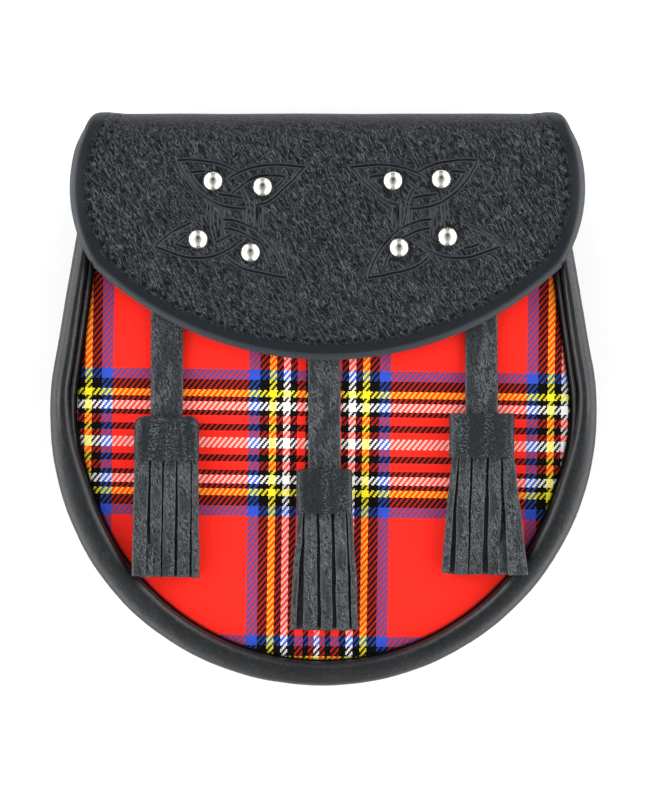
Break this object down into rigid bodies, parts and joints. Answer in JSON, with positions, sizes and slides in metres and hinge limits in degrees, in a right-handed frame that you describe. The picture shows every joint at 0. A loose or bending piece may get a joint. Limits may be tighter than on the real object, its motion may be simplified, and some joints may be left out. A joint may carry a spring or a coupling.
{
  "type": "sporran pouch",
  "caption": "Flat leather belt pouch with a tartan front, a studded flap with embossed knots and hanging leather tassels, lying on its back.",
  "frame": {"origin": "on the surface that the pouch lies on, under the middle of its outline", "axes": "+Z out of the pouch's front, +Y towards the top of the pouch, +X to the right of someone who looks at its front"},
  "size_m": [0.194, 0.203, 0.0435],
  "materials": {
    "smooth_leather": "smooth black leather, soft satin sheen",
    "grain_leather": "pebble-grained black leather, satin",
    "lining": "thin matt black lining leather",
    "tartan": "woven wool twill, red tartan",
    "nickel": "polished nickel plate"
  },
  "bodies": {
    "root": {"gusset": "smooth_leather", "back_panel": "smooth_leather", "tartan_panel": "tartan", "front_piping": "smooth_leather", "flap_outer": "grain_leather", "flap_lining": "lining", "flap_snap": "nickel", "stud_1": "nickel", "stud_2": "nickel", "stud_3": "nickel", "stud_4": "nickel", "stud_5": "nickel", "stud_6": "nickel", "stud_7": "nickel", "stud_8": "nickel", "back_loop_left": "smooth_leather", "back_loop_right": "smooth_leather", "tassel_left_strap": "grain_leather", "tassel_left_cap": "grain_leather", "tassel_left_fringe": "grain_leather", "tassel_centre_strap": "grain_leather", "tassel_centre_cap": "grain_leather", "tassel_centre_fringe": "grain_leather", "tassel_right_strap": "grain_leather", "tassel_right_cap": "grain_leather", "tassel_right_fringe": "grain_leather"}
  },
  "joints": []
}
